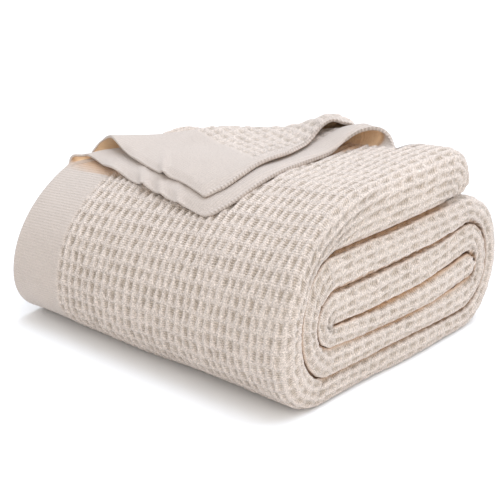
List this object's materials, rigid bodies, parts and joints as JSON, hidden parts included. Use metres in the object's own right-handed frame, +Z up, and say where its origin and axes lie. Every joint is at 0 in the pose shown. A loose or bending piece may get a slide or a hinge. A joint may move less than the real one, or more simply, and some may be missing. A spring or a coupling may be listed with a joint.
{
  "type": "folded waffle weave blanket",
  "caption": "Cotton waffle weave blanket folded lengthwise and wound into a flat pad, with rounded folds at one end, plain banded edges at the other and one corner turned back on top",
  "frame": {"origin": "centre of the underside, where the folded pad rests", "axes": "+X from the plain banded edges to the rounded folds, -Y the big front face, +Z up"},
  "size_m": [0.3298, 0.2977, 0.1937],
  "materials": {
    "cream_cotton": "soft matt undyed cream cotton yarn in a deep waffle weave, with plain ribbed bands"
  },
  "bodies": {
    "root": {"blanket": "cream_cotton"}
  },
  "joints": []
}
